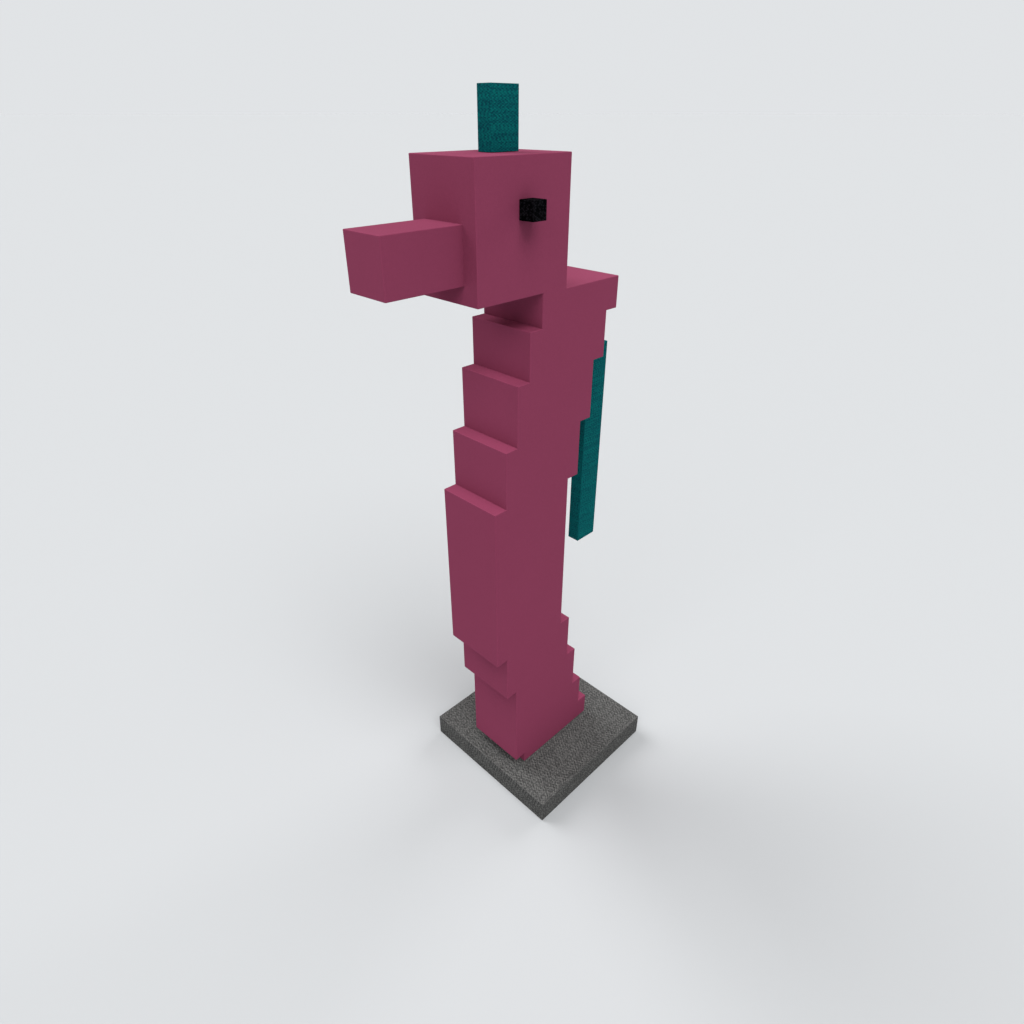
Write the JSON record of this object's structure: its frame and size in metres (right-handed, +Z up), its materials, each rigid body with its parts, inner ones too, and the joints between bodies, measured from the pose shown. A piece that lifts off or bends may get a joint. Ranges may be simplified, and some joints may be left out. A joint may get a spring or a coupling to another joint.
{
  "type": "seahorse statue",
  "caption": "Standing seahorse statue in square-cut steps, with a long square snout, crest, block eyes and a back fin, on a low square slab.",
  "frame": {"origin": "centre of the base slab's underside", "axes": "+Z up, the seahorse looks along -Y, +X is its left side and X = 0 is its plane of symmetry"},
  "size_m": [0.26, 0.4, 1.0206],
  "materials": {
    "pink_stone": "matte",
    "teal_stone": "matte",
    "charcoal_stone": "matte",
    "black_stone": "matte"
  },
  "bodies": {
    "root": {"base_slab": "charcoal_stone", "body": "pink_stone", "crest": "teal_stone", "dorsal_fin": "teal_stone", "eye_left": "black_stone", "eye_right": "black_stone"}
  },
  "joints": []
}
